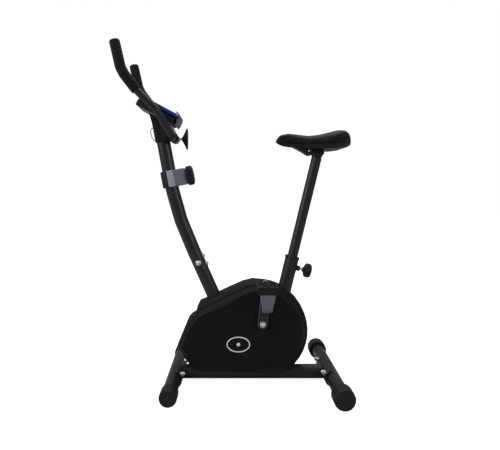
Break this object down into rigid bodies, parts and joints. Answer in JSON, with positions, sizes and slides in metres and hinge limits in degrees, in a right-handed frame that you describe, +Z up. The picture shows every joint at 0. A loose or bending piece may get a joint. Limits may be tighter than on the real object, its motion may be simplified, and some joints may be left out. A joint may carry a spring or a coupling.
{
  "type": "exercise bike",
  "caption": "Compact upright exercise bike with swept handlebar, tilted console, tension dial, enclosed drive, strapped pedals and padded saddle.",
  "frame": {"origin": "middle of the bike's bounding box, on the floor", "axes": "+Z up, -X towards the handlebar end (the way the rider faces), +Y to the rider's right"},
  "size_m": [0.8454, 0.46, 1.2074],
  "materials": {
    "frame_paint": "satin black paint",
    "cover_plastic": "matte black, fine grain",
    "black_plastic": "matte black",
    "foam": "soft black foam",
    "saddle_skin": "padded black leatherette",
    "zinc": "bright zinc plate",
    "crank_steel": "satin grey steel",
    "strap_rubber": "grey-blue rubber",
    "blue_plastic": "semi-gloss blue",
    "grey_plastic": "light grey",
    "silver_plastic": "silver grey",
    "display": "clear lens over a grey-green screen",
    "belt_rubber": "black ribbed belt",
    "iron": "machined grey iron",
    "alloy": "raw cast",
    "cable_jacket": "grey cable jacket"
  },
  "bodies": {
    "frame": {"base_tube": "frame_paint", "front_stabilizer": "frame_paint", "rear_stabilizer": "frame_paint", "front_saddle_plate": "frame_paint", "rear_saddle_plate": "frame_paint", "front_stub_tube": "frame_paint", "seat_tube": "frame_paint", "handlebar_post": "frame_paint", "bottom_bracket_shell": "frame_paint", "bracket_gusset": "frame_paint", "axle_plate_left": "frame_paint", "axle_plate_right": "frame_paint", "clamp_cradle": "frame_paint", "clamp_cap": "frame_paint", "front_cap_left": "black_plastic", "front_cap_right": "black_plastic", "rear_cap_left": "black_plastic", "rear_cap_right": "black_plastic", "seat_tube_bushing": "black_plastic", "console_back": "black_plastic", "post_head_cover_front": "black_plastic", "post_head_cover_rear": "black_plastic", "crank_bearing_left": "zinc", "crank_bearing_right": "zinc", "flywheel_axle": "zinc", "magnet_bracket_pin": "zinc", "drive_belt": "belt_rubber", "cover_left": "cover_plastic", "cover_right": "cover_plastic", "console_bezel": "blue_plastic", "console_display": "display", "console_ledge": "grey_plastic", "tension_housing": "silver_plastic", "tension_cable": "cable_jacket", "signal_wire": "cable_jacket"},
    "crank": {"crank_axle": "crank_steel", "drive_pulley": "black_plastic", "crank_arm_left": "crank_steel", "crank_arm_right": "crank_steel", "pedal_spindle_left": "zinc", "pedal_spindle_right": "zinc"},
    "pedal_left_body": {"pedal_left": "black_plastic", "pedal_strap_left": "strap_rubber"},
    "pedal_right_body": {"pedal_right": "black_plastic", "pedal_strap_right": "strap_rubber"},
    "flywheel_body": {"flywheel": "iron"},
    "magnet_body": {"magnet_bracket": "alloy"},
    "tension_knob_body": {"tension_knob": "black_plastic"},
    "clamp_knob_body": {"clamp_knob": "black_plastic"},
    "handlebar_body": {"handlebar": "frame_paint", "grip_left": "foam", "grip_right": "foam"},
    "seat_post_body": {"seat_post": "frame_paint"},
    "saddle_body": {"saddle": "saddle_skin", "saddle_pan": "black_plastic", "saddle_clamp": "black_plastic"},
    "seat_knob_body": {"seat_knob": "black_plastic"},
    "button_1": {"console_button_1": "grey_plastic"},
    "button_2": {"console_button_2": "grey_plastic"},
    "button_3": {"console_button_3": "grey_plastic"}
  },
  "joints": [
    {"name": "flywheel_spin", "type": "hinge", "parent": "frame", "child": "flywheel_body", "pos_m": [-0.1123, 0, 0.15], "axis": [0, 1, 0], "continuous": true},
    {"name": "crank_spin", "type": "hinge", "parent": "frame", "child": "crank", "pos_m": [0.0987, 0, 0.229], "axis": [0, 1, 0], "continuous": true},
    {"name": "left_pedal_spin", "type": "hinge", "parent": "crank", "child": "pedal_left_body", "pos_m": [0.10854, 0, 0.36966], "axis": [0, 1, 0], "continuous": true},
    {"name": "right_pedal_spin", "type": "hinge", "parent": "crank", "child": "pedal_right_body", "pos_m": [0.08886, 0, 0.08834], "axis": [0, 1, 0], "continuous": true},
    {"name": "tension_turn", "type": "hinge", "parent": "frame", "child": "tension_knob_body", "pos_m": [-0.17559, 0, 0.7516], "axis": [0.9826, 0, 0.1857], "range_deg": [0, 270]},
    {"name": "magnet_pivot", "type": "hinge", "parent": "frame", "child": "magnet_body", "pos_m": [-0.1123, 0, 0.2315], "axis": [0, 1, 0], "range_deg": [0, 6.2]},
    {"name": "clamp_turn", "type": "hinge", "parent": "frame", "child": "clamp_knob_body", "pos_m": [-0.194, 0, 0.888], "axis": [1, 0, 0], "range_deg": [-180, 180]},
    {"name": "handlebar_tilt", "type": "hinge", "parent": "frame", "child": "handlebar_body", "pos_m": [-0.2223, 0, 0.889], "axis": [0, 1, 0], "range_deg": [-8, 8]},
    {"name": "seat_height", "type": "slide", "parent": "frame", "child": "seat_post_body", "axis": [0.2385, 0, 0.9711], "range_m": [-0.075, 0.075]},
    {"name": "saddle_tilt", "type": "hinge", "parent": "seat_post_body", "child": "saddle_body", "pos_m": [0.30679, 0, 0.82834], "axis": [0, 1, 0], "range_deg": [-6, 6]},
    {"name": "seat_knob_pull", "type": "slide", "parent": "frame", "child": "seat_knob_body", "axis": [0.9711, 0, -0.2385], "range_m": [0, 0.008], "stiffness_N_per_m": 800, "springref_m": -0.004},
    {"name": "button_1_press", "type": "slide", "parent": "frame", "child": "button_1", "axis": [-0.4695, 0, -0.8829], "range_m": [0, 0.0012], "stiffness_N_per_m": 600, "springref_m": -0.0005},
    {"name": "button_2_press", "type": "slide", "parent": "frame", "child": "button_2", "axis": [-0.4695, 0, -0.8829], "range_m": [0, 0.0012], "stiffness_N_per_m": 600, "springref_m": -0.0005},
    {"name": "button_3_press", "type": "slide", "parent": "frame", "child": "button_3", "axis": [-0.4695, 0, -0.8829], "range_m": [0, 0.0012], "stiffness_N_per_m": 600, "springref_m": -0.0005}
  ],
  "couplings": [
    {"joint": "crank_spin", "follows": "flywheel_spin", "ratio": 0.15238},
    {"joint": "magnet_pivot", "follows": "tension_turn", "ratio": 0.022222}
  ]
}
